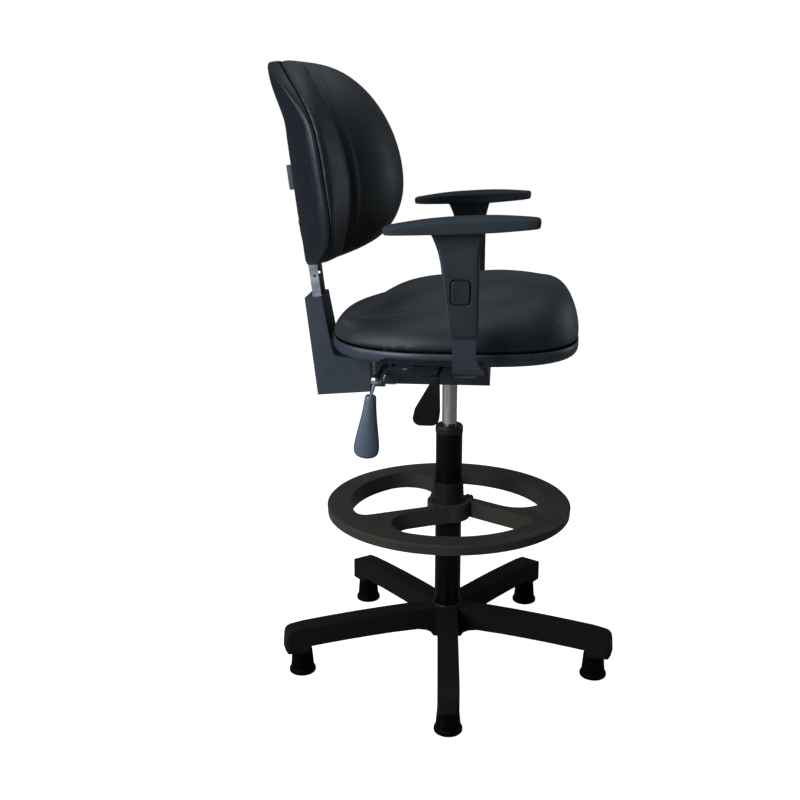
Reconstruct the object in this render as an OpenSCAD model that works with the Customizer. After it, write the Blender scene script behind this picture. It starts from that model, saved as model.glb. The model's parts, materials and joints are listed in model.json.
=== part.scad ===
// Drafting chair: star base on glides, gas column, foot ring, padded seat
// and backrest, adjustable arms. Origin: column axis at floor level, +X is the
// front of the chair, +Y the sitter's left, +Z up. Millimetres.

/* [Base] */
// Distance from the column axis to the middle of a glide
foot_r = 290; // [280:1:300]
// Turn of the star base about the column
star_turn = 3.3; // [0:0.1:12]
// Width of one star arm
arm_w = 38; // [34:1:42]
// Height of the hub top above the floor
hub_top = 104; // [100:1:108]
// Height of a glide
glide_h = 46; // [44:1:48]
// Diameter of a glide on the floor
glide_d = 50; // [44:1:54]

/* [Column] */
// Outer diameter of the column tube
column_d = 50; // [48:1:52]
// Height of the top of the column tube
column_top = 451; // [440:1:460]
// Diameter of the chromed gas cylinder
cylinder_d = 28; // [26:1:30]

/* [Foot ring] */
// Height of the top face of the foot ring
ring_z = 316; // [300:1:330]
// Outer diameter of the foot ring
ring_d = 462; // [440:2:480]
// Width of the tread band
ring_band = 44; // [36:1:52]

/* [Seat] */
// Depth of the seat, front to back
seat_depth = 439; // [430:1:450]
// Width of the seat
seat_w = 460; // [450:2:480]
// Height of the seam between pan and cushion
seam_z = 650; // [648:1:656]
// Height of the highest point of the cushion
seat_top = 752; // [740:1:765]

/* [Backrest] */
// Width of the backrest
back_w = 400; // [380:2:410]
// Height of the backrest along its slope
back_h = 348; // [330:1:350]
// Rearward lean of the upright and the backrest in degrees
recline = 7; // [5:0.5:9]
// Radius of the curved back panel seen from above
back_r = 330; // [320:1:345]

/* [Arms] */
// Distance from the middle plane to the middle of an arm stem
stem_y = 292; // [286:1:298]
// Length of an arm pad
pad_l = 238; // [220:1:250]
// Width of an arm pad
pad_w = 78; // [70:1:84]

/* [Hidden] */
$fn = 96;

plastic = "#2a2b2a";
plastic_blue = "#262a30";
vinyl = "#15181d";
steel = "#8d9094";
chrome = "#c9ccd0";
painted = "#1f2022";
wood = "#b08d5c";

slip = 0.06;            // radial clearance of a running fit
touch = 0.3;            // gap between pieces that nearly meet

// Base
arm_end = foot_r + 34;
block_in = foot_r - 12;
hub_r = 34;
hub_low = 44;
pin_r = 5.5;
sleeve_r = column_d / 2 + 2.5;

// Column
column_low = 50;
column_floor = 5;
column_in = column_d / 2 - 3;
cyl_r = cylinder_d / 2;
cyl_low = 200;
cyl_top = 594;
taper_z = 552;
taper_r = cyl_r - 0.8;
rod_r = 5;
rod_top = 392;
collar_h = 16.5;

// Foot ring
ring_in = ring_d / 2 - ring_band;
spoke_depth = 32;
skirt_depth = 18;
edge_turn = 206.6;
spoke_off = 18.8;
spoke_w = 19;
ring_fillet = 55;
ring_tip = 20;
ring_hub_r = 41;
collar_r = 31;
collar_top = 40;
knob_z = ring_z - 17;
knob_turn = 52;

// Seat
seat_x = 10.5;
tray_top = 601;
plate_t = 8;
pan_low = tray_top + plate_t;
pan_wall = 3;
board_t = 12;
rim_low = 631;
notch_top = 639;
board_low = pan_low + pan_wall + 0.1;
flat_part = 0.62;
plug_part = 0.8;
bolt_spots = [[35, 96], [35, -96], [-75, 96], [-75, -96]];

// Mechanism
tray_low = 562;
tray_half = 80;
sheet = 2.5;
clamp = [-120, 0, 587];
handle_top = [-129, -158, 560];
handle_end = [-139, -158, 447];
pivot = [-112, 0, 560];
lever_z = 604;
lever_pivot_y = -88;
lever_r = 3.4;
lever_bend = [-7, lever_pivot_y, lever_z];
lever_end = [-15, -192, lever_z - 4];

// Backrest: local frame with x forward from the rear of the shell
back_at = [-265, 0, 772];
channel_x = 7;
channel_d = 16;
channel_half = 25;
shell_t = 3.5;
board_r = back_r - 26.2;
board_th = 10;
board_in = 45;
rim_r = back_r - 10;
cap_low = 128;
cap_h = 44;

// Arms
stem_x = [17, 53];
stem_t = 14;
stem_top = 790;
sleeve_half = 17;
sleeve_low = 695;
sleeve_top = 853.8;
sleeve_step = (sleeve_top - sleeve_low) / 10;
pad_x = 29;
button_gap = 0.4;
button_box = [14.6, 746, 28, 36];

function foot_angle(i) = -90 + 72 * i + star_turn;
function superellipse(a, b, n1, n2, taper, steps) = [
    for (i = [0:steps - 1])
        let (t = 360 * i / steps, n = sin(t) < 0 ? n2 : n1)
        let (v = b * pow(abs(sin(t)), 2 / n) * sign(sin(t)))
        [a * pow(abs(cos(t)), 2 / n) * sign(cos(t)) * (1 - taper * v / b), v]
];

// Points along an arc round c, from angle a0 to a1 in n steps
function arc(c, r, a0, a1, n) = [
    for (i = [0:n]) let (a = a0 + (a1 - a0) * i / n) c + r * [cos(a), sin(a)]
];

// Round bar from point a to point b
module bar(a, b, r) {
    d = b - a;
    turn = [0, acos(d[2] / norm(d)), atan2(d[1], d[0])];
    translate(a) rotate(turn) cylinder(h = norm(d), r = r);
}

// Solid of revolution with a hole, from a list of [radius, height]
module turned(points) {
    rotate_extrude() polygon(points);
}

// Plate standing in the XZ plane, between y0 and y1
module side_plate(points, y0, y1) {
    translate([0, y1, 0]) rotate([90, 0, 0]) linear_extrude(y1 - y0) polygon(points);
}

// ---------- Base ----------

function arm_top(r) = hub_top - 0.6 - 10 * pow(max(0, r - 45) / 255, 2);
function arm_under(r) = 64 - 7 * pow((r - 80) / 200, 2);

function arm_profile() = concat(
    [[0, arm_top(0)], [45, arm_top(45)]],
    [for (r = [85:40:285]) [r, arm_top(r)]],
    [for (t = [15:25:90]) [arm_end - 19 + 16 * sin(t), arm_top(arm_end) - 14 + 14 * cos(t)]],
    [[arm_end, glide_h + 6], [arm_end - 4, glide_h], [block_in, glide_h]],
    [for (r = [block_in:-40:80]) [r - 1, arm_under(r)]],
    [for (t = [15:25:90]) [78 - 44 * sin(t), hub_low + 1 + 19 * cos(t)]],
    [[0, hub_low + 1]]
);

module star_arm() {
    corner = 8;
    side = arm_w / 2;
    middle = arm_end - 0.5 - corner;
    plan = concat(
        [[0, -side]], arc([middle, corner - side], corner, -90, 0, 4),
        arc([middle, side - corner], corner, 0, 90, 4), [[0, side]]
    );
    intersection() {
        side_plate(arm_profile(), -side - 1, side + 1);
        linear_extrude(hub_top + 1) polygon(plan);
    }
}

module star_base() {
    color(plastic) difference() {
        union() {
            for (i = [0:4]) rotate(foot_angle(i)) star_arm();
            translate([0, 0, hub_low]) cylinder(h = hub_top - hub_low, r = hub_r);
        }
        translate([0, 0, hub_low - 1]) cylinder(h = hub_top, r = sleeve_r);
        for (i = [0:4]) rotate(foot_angle(i)) translate([foot_r, 0, glide_h - 1]) {
            cylinder(h = 25, r = pin_r);
        }
    }
}

module glide(i) {
    r = glide_d / 2;
    color("#1c1c1c") rotate(foot_angle(i)) translate([foot_r, 0, 0]) difference() {
        turned([
            [0, 0], [r - 2, 0], [r, 2], [r, 7], [r - 1.5, 9.5],
            [r - 3, 10.5], [r - 6, glide_h], [0, glide_h]
        ]);
        translate([0, 0, glide_h - 26]) cylinder(h = 27, r = pin_r);
    }
}

module glide_pins() {
    color(steel) for (i = [0:4]) rotate(foot_angle(i)) translate([foot_r, 0, glide_h - 26]) {
        cylinder(h = 50, r = pin_r);
    }
}

module hub_sleeve() {
    r = column_d / 2;
    color(painted) turned([
        [r, column_low], [sleeve_r, column_low], [sleeve_r, hub_top],
        [sleeve_r + 2.5, hub_top], [sleeve_r + 1.5, hub_top + 4], [r, hub_top + 4]
    ]);
}

// ---------- Column ----------

module column_tube() {
    color(painted) difference() {
        translate([0, 0, column_low]) cylinder(h = column_top - column_low, r = column_d / 2);
        translate([0, 0, column_low + column_floor]) cylinder(h = column_top, r = column_in);
        translate([0, 0, column_low - 1]) cylinder(h = 10, r = rod_r + slip);
    }
}

module column_guide() {
    r = cyl_r + slip;
    edge = column_d / 2 + 1;
    color(plastic) turned([
        [r, column_top - 70], [column_in, column_top - 70], [column_in, column_top],
        [edge, column_top], [edge, column_top + collar_h - 4], [edge - 3, column_top + collar_h],
        [r, column_top + collar_h]
    ]);
}

module thrust_bearing() {
    z0 = column_low + column_floor;
    color(steel) {
        for (z = [z0, z0 + 5]) turned([[rod_r + 0.4, z], [13, z], [13, z + 2], [rod_r + 0.4, z + 2]]);
        for (i = [0:11]) rotate(30 * i) translate([9.2, 0, z0 + 3.5]) sphere(r = 1.4, $fn = 32);
    }
}

module piston_rod() {
    flange = column_low + column_floor + 7.1;
    clip_z = column_low - 2.2;
    color(chrome) turned([
        [0, clip_z - 2], [rod_r, clip_z - 2], [rod_r, clip_z], [rod_r - 1, clip_z],
        [rod_r - 1, clip_z + 1.6], [rod_r, clip_z + 1.6], [rod_r, flange], [9, flange],
        [9, flange + 3], [rod_r, flange + 3], [rod_r, rod_top], [0, rod_top]
    ]);
}

module retaining_clip() {
    z = column_low - 2.2;
    color(steel) turned([[rod_r - 1, z], [9, z], [9, z + 1.6], [rod_r - 1, z + 1.6]]);
}

module piston_head() {
    r = cyl_r - 2 - slip;
    color(painted) turned([[rod_r, rod_top - 9], [r, rod_top - 9], [r, rod_top - 1], [rod_r, rod_top - 1]]);
}

module gas_cylinder() {
    bore = cyl_r - 2;
    color(chrome) difference() {
        turned([[0, cyl_low], [cyl_r, cyl_low], [cyl_r, taper_z], [taper_r, cyl_top], [0, cyl_top]]);
        translate([0, 0, cyl_low - 1]) cylinder(h = cyl_top - cyl_low - 24, r = bore);
        translate([0, 0, cyl_top - 30]) cylinder(h = 40, r = 3.2 + slip);
    }
}

module cylinder_gland() {
    color(painted) turned([
        [rod_r + slip, cyl_low], [cyl_r - 2, cyl_low],
        [cyl_r - 2, cyl_low + 14], [rod_r + slip, cyl_low + 14]
    ]);
}

module release_pin() {
    color(steel) translate([0, 0, cyl_top - 12]) cylinder(h = 18, r = 3.2);
}

// ---------- Foot ring ----------

// Outline of one comma-shaped opening between two blades, grown by g on every side
function ring_opening(g = 0) =
    let (blade = edge_turn - 120, blade_off = spoke_off + spoke_w, hub = ring_hub_r - 0.5 - g)
    let (hub_from = edge_turn + 90 - acos((spoke_off + g) / hub))
    let (hub_to = blade + 90 - acos((blade_off - g) / hub))
    let (tip_at = ring_in - ring_tip, lobe_at = ring_in - ring_fillet)
    let (tip_dir = edge_turn + asin((spoke_off - ring_tip) / tip_at))
    let (lobe_dir = blade + asin((blade_off + ring_fillet) / lobe_at))
    concat(
        arc(lobe_at * [cos(lobe_dir), sin(lobe_dir)], ring_fillet + g, blade - 90, lobe_dir, 18),
        arc([0, 0], ring_in + g, lobe_dir + 3, tip_dir - 3, 22),
        arc(tip_at * [cos(tip_dir), sin(tip_dir)], ring_tip + g, tip_dir, edge_turn + 90, 9),
        arc([0, 0], hub, hub_from, hub_to, 12)
    );

module ring_openings(height, g = 0) {
    for (k = [0:2]) rotate(120 * k) linear_extrude(height) polygon(ring_opening(g));
}

module foot_ring() {
    r = ring_d / 2;
    wall = 3.5;
    plate = 4;
    color(plastic) difference() {
        union() {
            turned([
                [0, ring_z - plate], [r - wall, ring_z - plate], [r - wall, ring_z - skirt_depth],
                [r - 1, ring_z - skirt_depth], [r, ring_z - 3], [r - 3, ring_z], [0, ring_z]
            ]);
            translate([0, 0, ring_z - spoke_depth]) {
                ring_openings(spoke_depth - 3.5, wall);
                cylinder(h = spoke_depth - 3.5, r = ring_hub_r);
            }
        }
        translate([0, 0, ring_z - 40]) ring_openings(60);
        translate([0, 0, ring_z - 40]) cylinder(h = 60, r = collar_r);
        knob_hole();
    }
}

module ring_collar() {
    r = column_d / 2 + slip;
    low = ring_z - spoke_depth;
    color(painted) difference() {
        turned([
            [r, low], [collar_r, low], [collar_r, ring_z - 2], [collar_r - 1, ring_z],
            [r + 2.5, ring_z + collar_top], [r, ring_z + collar_top]
        ]);
        knob_hole();
    }
}

module knob_hole() {
    rotate(knob_turn) translate([0, 0, knob_z]) rotate([0, 90, 0]) {
        cylinder(h = ring_hub_r + 5, r = 4 + slip);
    }
}

module ring_knob() {
    head = ring_hub_r + 4;
    color(plastic) rotate(knob_turn) translate([0, 0, knob_z]) rotate([0, 90, 0]) {
        translate([0, 0, column_d / 2 + 0.5]) cylinder(h = head, r = 4);
        difference() {
            translate([0, 0, head]) cylinder(h = 20, r = 12.5);
            for (k = [0:5]) rotate(60 * k) translate([15.5, 0, head - 1]) cylinder(h = 30, r = 5, $fn = 32);
        }
    }
}

// ---------- Mechanism ----------

module mechanism_tray() {
    shape = [[-116, tray_low], [75, tray_low], [69, tray_top], [-104, tray_top]];
    inner = [[-113, tray_low + sheet], [72, tray_low + sheet], [66, tray_top + 1], [-101, tray_top + 1]];
    color(steel) difference() {
        union() {
            side_plate(shape, -tray_half, tray_half);
            for (y = [-112, tray_half - 1]) translate([-100, y, tray_top - 3]) cube([160, 33, 3]);
        }
        side_plate(inner, -tray_half + sheet, tray_half - sheet);
        translate([-130, -41, tray_low - 1]) cube([44, 82, 60]);
        cylinder(h = tray_top, r = 20);
        translate([-17.4, -tray_half - 40, tray_top - 6]) cube([28.8, 50, 10]);
        for (p = bolt_spots) translate([p[0], p[1], tray_top - 10]) cylinder(h = 20, r = 3.2);
    }
}

module cone_socket() {
    color(steel) difference() {
        translate([0, 0, tray_low - 3]) cylinder(h = 32, r = 20);
        turned([[0, taper_z], [cyl_r, taper_z], [taper_r, cyl_top], [0, cyl_top]]);
    }
}

module tilt_cheeks() {
    shape = [
        [-136, 545], [-117, 545], [-117, 566], [-88, 566],
        [-88, 592], [-100, 600], [-130, 600], [-136, 594]
    ];
    color(painted) for (s = [-1, 1]) difference() {
        side_plate(shape, s > 0 ? 31 : -36, s > 0 ? 36 : -31);
        for (p = [clamp, pivot]) translate([p[0], -50, p[2]]) rotate([-90, 0, 0]) {
            cylinder(h = 100, r = p == clamp ? 5 : 6);
        }
    }
}

module rear_spacer() {
    color(painted) difference() {
        translate([-90, -112, tray_top]) cube([30, 224, plate_t]);
        for (y = [-96, 96]) translate([-75, y, tray_top - 1]) cylinder(h = plate_t + 2, r = 3.2);
    }
}

module lever_bracket() {
    color(steel) {
        for (x = [-21, 11]) difference() {
            translate([x, lever_pivot_y - 7, tray_top]) cube([4, 14, 7.4]);
            translate([x - 1, lever_pivot_y, lever_z]) rotate([0, 90, 0]) cylinder(h = 6, r = 2.5);
        }
        translate([-21, lever_pivot_y, lever_z]) rotate([0, 90, 0]) cylinder(h = 36, r = 2.5);
    }
}

module height_lever() {
    color(painted) difference() {
        union() {
            bar([0, 0, lever_z], lever_bend, lever_r);
            bar(lever_bend, lever_end, lever_r);
            translate([-16.8, lever_pivot_y, lever_z]) rotate([0, 90, 0]) cylinder(h = 27.6, r = 4.6);
        }
        translate([-30, lever_pivot_y, lever_z]) rotate([0, 90, 0]) cylinder(h = 60, r = 2.5 + slip);
    }
}

// Flat teardrop grip of the height lever
module lever_paddle() {
    low = 521;
    shape = concat(
        [[-24, lever_z + 2], [-9, lever_z + 2], [-8, lever_z - 16], [-7, 545]],
        [for (t = [0:22.5:90]) [-21 + 13 * cos(t), low + 13 - 13 * sin(t)]],
        [for (t = [90:22.5:180]) [-40 + 13 * cos(t), low + 13 - 13 * sin(t)]],
        [[-50, 548], [-26, lever_z - 14]]
    );
    color(plastic) difference() {
        side_plate(shape, -205, -191);
        bar(lever_bend, lever_end, lever_r);
    }
}

module tilt_bolt() {
    color(chrome) translate([clamp[0], 0, clamp[2]]) rotate([90, 0, 0]) {
        translate([0, 0, -42]) cylinder(h = 192, r = 5);
        translate([0, 0, -42]) cylinder(h = 6, r = 9, $fn = 6);
    }
}

// Chromed nut with its bent rod: turns on the bolt and clamps the tilt
module tilt_lever() {
    at = [clamp[0], -158, clamp[2]];
    color(chrome) difference() {
        union() {
            translate(at) sphere(r = 10);
            translate(at - [0, -12, 0]) rotate([90, 0, 0]) cylinder(h = 14, r = 8);
            bar(at, handle_top, 3.2);
        }
        translate([at[0], -151, at[2]]) rotate([-90, 0, 0]) cylinder(h = 30, r = 5 + slip);
    }
}

module tilt_handle() {
    d = handle_end - handle_top;
    n = norm(d);
    profile = concat(
        [[0, 0], [9, 0], [10.5, 3], [14, 0.35 * n], [19.5, 0.62 * n], [23, 0.82 * n]],
        [for (t = [0:15:90]) [8 + 15 * cos(t), n - 14 + 14 * sin(t)]],
        [[0, n]]
    );
    color(plastic_blue) translate(handle_top) rotate([0, atan2(d[0], d[2]), 0]) difference() {
        intersection() {
            turned(profile);
            translate([-30, -15, -1]) cube([60, 30, n + 2]);
        }
        translate([0, 0, -1]) cylinder(h = 2, r = 3.2);
    }
}

// ---------- Seat ----------

module seat_outline(f = 1) {
    scale(f) polygon(superellipse(seat_w / 2, seat_depth / 2, 2.7, 3.1, 0, 48));
}

// Flat slice of the seat outline, from height z0 to z1
module seat_slice(f, z0, z1) {
    translate([seat_x, 0, z0]) rotate(90) linear_extrude(z1 - z0) seat_outline(f);
}

module seat_pan() {
    wall = 1 - 2 * pan_wall / seat_depth;
    color(plastic_blue) difference() {
        union() {
            hull() {
                seat_slice(flat_part, pan_low, pan_low + 1);
                seat_slice(1, rim_low, rim_low + 1);
            }
            seat_slice(1, rim_low, seam_z);
        }
        hull() {
            seat_slice(flat_part, pan_low + pan_wall, pan_low + pan_wall + 1);
            seat_slice(wall, rim_low + pan_wall - 1, seam_z + 1);
        }
        arm_notches(0);
        for (p = bolt_spots) translate([p[0], p[1], pan_low - 1]) cylinder(h = 10, r = 3.2);
    }
    color(plastic_blue) difference() {
        intersection() {
            seat_slice(0.999, rim_low - 12, notch_top + 2.5);
            arm_notches(2.5);
        }
        arm_notches(0);
    }
}

// Steps in the underside of the pan that the arm brackets rise through
module arm_notches(g) {
    for (s = [-1, 1]) translate([-100 - g, s * 252 - 44 - g, rim_low - 14]) {
        cube([162 + 2 * g, 88 + 2 * g, notch_top - rim_low + 14 + g]);
    }
}

module seat_board() {
    color(wood) difference() {
        seat_slice(flat_part - 0.01, board_low, board_low + board_t);
        for (p = bolt_spots) translate([p[0], p[1], board_low - 1]) cylinder(h = board_t + 2, r = 4.6);
        for (p = bolt_spots) translate([p[0], p[1], board_low + board_t - 1.5]) cylinder(h = 3, r = 9);
    }
}

module tee_nuts() {
    top = board_low + board_t;
    color(steel) for (p = bolt_spots) translate([p[0], p[1], 0]) {
        turned([[3.2, board_low], [4.6, board_low], [4.6, top - 1.5], [9, top - 1.5], [9, top], [3.2, top]]);
    }
}

module seat_bolts() {
    head = tray_top - 8;
    color(steel) for (p = bolt_spots) translate([p[0], p[1], head]) {
        cylinder(h = 5, r = 6.5, $fn = 6);
        cylinder(h = board_low + board_t - 1 - head, r = 3.2);
    }
}

// Height of the cushion along the middle line, front to back
function seat_side() = [
    [-221, seam_z], [-219, 664], [-211, 676], [-186, 683], [-162, 701], [-142, 712], [-100, 724],
    [-40, 739], [30, 749], [104, seat_top], [150, 749], [180, 734], [202, 708], [215, 680], [221, seam_z]
];

// Height of the cushion from the middle to one side
function seat_front() = [
    [0, seat_top], [55, 751], [92, 741], [118, 723], [132, 712], [150, 713], [176, 707],
    [204, 690], [221, 669], [seat_w / 2 + 1, seam_z]
];

module seat_cushion() {
    low = seam_z + touch;
    half = seat_front();
    right = [for (i = [0:9]) half[9 - i]];
    left = [for (i = [1:9]) [-half[i][0], half[i][1]]];
    color(vinyl) {
        intersection() {
            seat_slice(1, low, seat_top + 1);
            translate([seat_x, 0, 0]) side_plate(seat_side(), -seat_w, seat_w);
            translate([-seat_depth, 0, 0]) rotate([90, 0, 90]) linear_extrude(2 * seat_depth) {
                polygon(concat(right, left));
            }
        }
        seat_slice(plug_part, board_low + board_t + touch, low + 1);
    }
}

// ---------- Back ----------

// Places its children in the leaning frame of the upright and the backrest
module leaning() {
    translate(back_at) rotate([0, -recline, 0]) children();
}

module tilt_arm() {
    shape = [[-98, 548], [-98, 573], [-106, 597], [-241, 597], [-234, 556], [-226, 548]];
    swing = atan2(clamp[2] - pivot[2], clamp[0] - pivot[0]);
    reach = norm([clamp[0] - pivot[0], clamp[2] - pivot[2]]);
    slot_r = 5.3;
    from = swing - 18;
    to = swing + 4;
    slot = concat(
        arc([0, 0], reach + slot_r, from, to, 6),
        arc(reach * [cos(to), sin(to)], slot_r, to + 20, to + 160, 7),
        arc([0, 0], reach - slot_r, to, from, 6),
        arc(reach * [cos(from), sin(from)], slot_r, from + 200, from + 340, 7)
    );
    color(steel) for (s = [-1, 1]) difference() {
        side_plate(shape, s * (channel_half + 2.5) - 2.5, s * (channel_half + 2.5) + 2.5);
        translate([pivot[0], 40, pivot[2]]) rotate([90, 0, 0]) {
            cylinder(h = 80, r = 6 + slip);
            linear_extrude(80) polygon(slot);
        }
    }
}

module pivot_shaft() {
    color(steel) translate([pivot[0], 40, pivot[2]]) rotate([90, 0, 0]) {
        cylinder(h = 80, r = 6);
        cylinder(h = 4, r = 9);
        translate([0, 0, 76]) cylinder(h = 4, r = 9);
    }
}

module upright_channel() {
    low = -215;
    high = 225;
    color(chrome) leaning() difference() {
        translate([channel_x, -channel_half, low]) cube([channel_d, 2 * channel_half, high - low]);
        translate([channel_x + 2, 2 - channel_half, low - 1]) {
            cube([channel_d, 2 * channel_half - 4, high - low + 2]);
        }
        for (z = [-28:28:196]) translate([channel_x + 9, -40, z]) rotate([-90, 0, 0]) {
            cylinder(h = 80, r = 2.4);
        }
        cover_screw_set(2);
    }
}

// Screws that hold the cover on the web of the channel
module cover_screw_set(r) {
    for (z = [-160, -80]) translate([-8, 0, z]) rotate([0, 90, 0]) cylinder(h = channel_x + 10, r = r);
}

function cover_shape(w) = [
    [-241 + w, 529 + w], [-143, 537 + w], [-143, 600 - w], [-199, 600 - w], [-209 - w / 2, 605 - w / 2],
    [-214 - w, 618], [-231.5 - w * 0.8, 712], [-262 + w, 709]
];

module back_cover() {
    color(plastic_blue) difference() {
        union() {
            difference() {
                side_plate(cover_shape(0), -44, 44);
                difference() {
                    side_plate(cover_shape(3), -41, 41);
                    translate([-280, -50, 706]) cube([60, 100, 10]);
                }
                translate([-146, -41, 541]) cube([10, 82, 55]);
            }
            intersection() {
                leaning() for (z = [-160, -80]) translate([-12, 0, z]) rotate([0, 90, 0]) {
                    cylinder(h = 19, r = 5.5);
                }
                side_plate(cover_shape(0), -44, 44);
            }
        }
        leaning() {
            translate([channel_x - 0.1, -channel_half - 0.1, -90]) {
                cube([channel_d + 0.2, 2 * channel_half + 0.2, 60]);
            }
            cover_screw_set(2);
            for (z = [-160, -80]) translate([-20, 0, z]) rotate([0, 90, 0]) cylinder(h = 16, r = 4);
        }
    }
}

module cover_screws() {
    color(steel) leaning() {
        for (z = [-160, -80]) translate([-4, 0, z]) rotate([0, 90, 0]) cylinder(h = channel_x + 6, r = 2);
        for (z = [-160, -80]) translate([-6.5, 0, z]) rotate([0, 90, 0]) cylinder(h = 2.5, r = 3.9);
    }
}

// Upright panel of the backrest outline, inset by d, over the whole thickness
module back_outline(d) {
    rotate([90, 0, 90]) linear_extrude(260) translate([0, back_h / 2]) {
        polygon(superellipse(back_w / 2 - d, back_h / 2 - d, 2.5, 5, 0.04, 64));
    }
}

// Curved layer of the backrest between two radii, rear to front
module back_layer(r_rear, r_front, d) {
    intersection() {
        translate([-1, 0, 0]) back_outline(d);
        translate([back_r, 0, -10]) difference() {
            cylinder(h = back_h + 20, r = r_rear, $fn = 180);
            translate([0, 0, -1]) cylinder(h = back_h + 30, r = r_front, $fn = 180);
            translate([0, -back_r - 1, -1]) cube([2 * back_r, 2 * back_r + 2, back_h + 30]);
        }
    }
}

back_spots = [[105, 75], [105, 262], [-105, 75], [-105, 262]];

// Gap at the lower edge where the upright enters
module upright_gap() {
    translate([channel_x - 3, -channel_half - 6, -20]) cube([channel_d + 4.5, 2 * channel_half + 12, 60]);
}

module back_shell() {
    color(plastic_blue) leaning() difference() {
        union() {
            back_layer(back_r, back_r - shell_t, 0);
            difference() {
                back_layer(back_r - 0.5, rim_r, 0);
                back_outline(shell_t);
            }
            for (p = back_spots) intersection() {
                translate([4, p[0], p[1]]) rotate([0, 90, 0]) cylinder(h = 60, r = 6);
                back_layer(back_r - 0.5, board_r, 10);
            }
        }
        upright_gap();
        for (p = back_spots) translate([-1, p[0], p[1]]) rotate([0, 90, 0]) cylinder(h = 70, r = 2.2);
        for (p = back_spots) translate([-1, p[0], p[1]]) rotate([0, 90, 0]) cylinder(h = 20.5, r = 4.5);
        translate([-2, -21, cap_low]) cube([7, 42, cap_h]);
    }
}

module back_board() {
    color(wood) leaning() difference() {
        back_layer(board_r, board_r - board_th, board_in);
        for (p = back_spots) translate([-1, p[0], p[1]]) rotate([0, 90, 0]) cylinder(h = 70, r = 2.2);
        for (s = [-1, 1]) translate([0, s * 26, 80]) rotate([0, 90, 0]) cylinder(h = 60, r = 2.2);
    }
}

module back_screws() {
    color(steel) leaning() for (p = back_spots) translate([17, p[0], p[1]]) rotate([0, 90, 0]) {
        cylinder(h = 30, r = 2.2);
        cylinder(h = 2.5, r = 4.5);
    }
}

// Depth of the cushion front, seen from above, from the middle to one side
function back_plan() = [
    [190, 0], [187, 45], [174, 85], [151, 112], [128, 130],
    [122, 142], [117, 160], [102, 180], [78, 200], [70, 206]
];

// Depth of the cushion front, seen from the side, bottom to top
function back_side() = [
    [0, -2], [86, 1], [112, 13], [132, 25], [168, 65], [186, 106], [190, 148], [183, 191], [173, 221],
    [159, 250], [145, 275], [131, 293], [111, 313], [80, 333], [60, 342], [45, back_h + 1], [0, back_h + 1]
];

module back_cushion() {
    half = back_plan();
    plan = concat(half, [[-5, 206], [-5, -206]], [for (i = [0:8]) [half[9 - i][0], -half[9 - i][1]]]);
    color(vinyl) leaning() difference() {
        intersection() {
            back_outline(0.4);
            translate([0, 0, -5]) linear_extrude(back_h + 20) polygon(plan);
            side_plate(back_side(), -back_w, back_w);
            translate([back_r, 0, -10]) cylinder(h = back_h + 20, r = rim_r - touch, $fn = 180);
        }
        back_core();
        upright_gap();
    }
}

// Room behind the foam for the board, the housing and the sliding upright
module back_core() {
    difference() {
        back_outline(board_in - touch);
        translate([back_r, 0, -10]) cylinder(h = back_h + 20, r = board_r - board_th - touch, $fn = 180);
    }
    translate([channel_x - 3, -channel_half - 6, -20]) cube([channel_d + 7, 2 * channel_half + 12, 90]);
}

module ratchet_housing() {
    g = 0.1;
    color(plastic) leaning() difference() {
        translate([5, -29, 30]) cube([21, 58, 100]);
        translate([channel_x - g, -channel_half - g, 29]) {
            cube([channel_d + 2 * g, 2 * channel_half + 2 * g, 102]);
        }
    }
}

module ratchet_cap() {
    color(plastic) leaning() intersection() {
        translate([-11, -20.8, cap_low + 0.2]) cube([15.5, 41.6, cap_h - 0.4]);
        translate([40, 0, cap_low - 20]) cylinder(h = cap_h + 40, r = 51);
    }
}

// ---------- Arms ----------

module handed(side) {
    if (side > 0) children();
    else mirror([0, 1, 0]) children();
}

// Steel bracket: bolted under the seat, rising into the sleeve
module arm_bracket(side) {
    out = stem_y + stem_t / 2;
    shape = [
        [75, tray_top], [188, tray_top], [out - 14, 627], [out - 5, 632], [out, 641], [out, stem_top],
        [out - stem_t, stem_top], [out - stem_t, 650], [out - 19, 638], [186, pan_low], [75, pan_low]
    ];
    gusset = [[52, 664], [54.5, 655], [59, 645], [66, 638], [66, 628], [50, 628]];
    color(painted) handed(side) difference() {
        union() {
            translate([stem_x[0], 0, 0]) rotate([90, 0, 90]) linear_extrude(stem_x[1] - stem_x[0]) {
                polygon(shape);
            }
            intersection() {
                side_plate(gusset, 200, 400);
                rotate([90, 0, 90]) linear_extrude(100) polygon(shape);
            }
        }
        translate([35, 96, tray_top - 1]) cylinder(h = 20, r = 3.2);
    }
}

// Front and rear edge of the sleeve at height z: nearly straight, then flaring under the pad
function sleeve_front(z) = 56.7 + 7.5 * pow(max(0, (z - 815) / 39), 2);
function sleeve_rear(z) = 11 - 0.122 * (z - sleeve_low) - 10 * pow(max(0, (z - 795) / 57), 2.4);
function sleeve_shape() = concat(
    [for (i = [0:9]) let (z = sleeve_low + sleeve_step * i) [sleeve_front(z), z]],
    [[sleeve_front(sleeve_top), sleeve_top + 2.2]],
    [for (i = [10:-1:0]) let (z = sleeve_low + sleeve_step * i) [sleeve_rear(z), z]]
);

module arm_sleeve(side) {
    g = 0.08;
    color(plastic) handed(side) difference() {
        side_plate(sleeve_shape(), stem_y - sleeve_half, stem_y + sleeve_half);
        translate([stem_x[0] - g, stem_y - stem_t / 2 - g, 690]) {
            cube([stem_x[1] - stem_x[0] + 2 * g, stem_t + 2 * g, 134]);
        }
        button_shape(button_gap, stem_y, stem_y + 40);
        pad_screw_set();
    }
}

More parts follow.
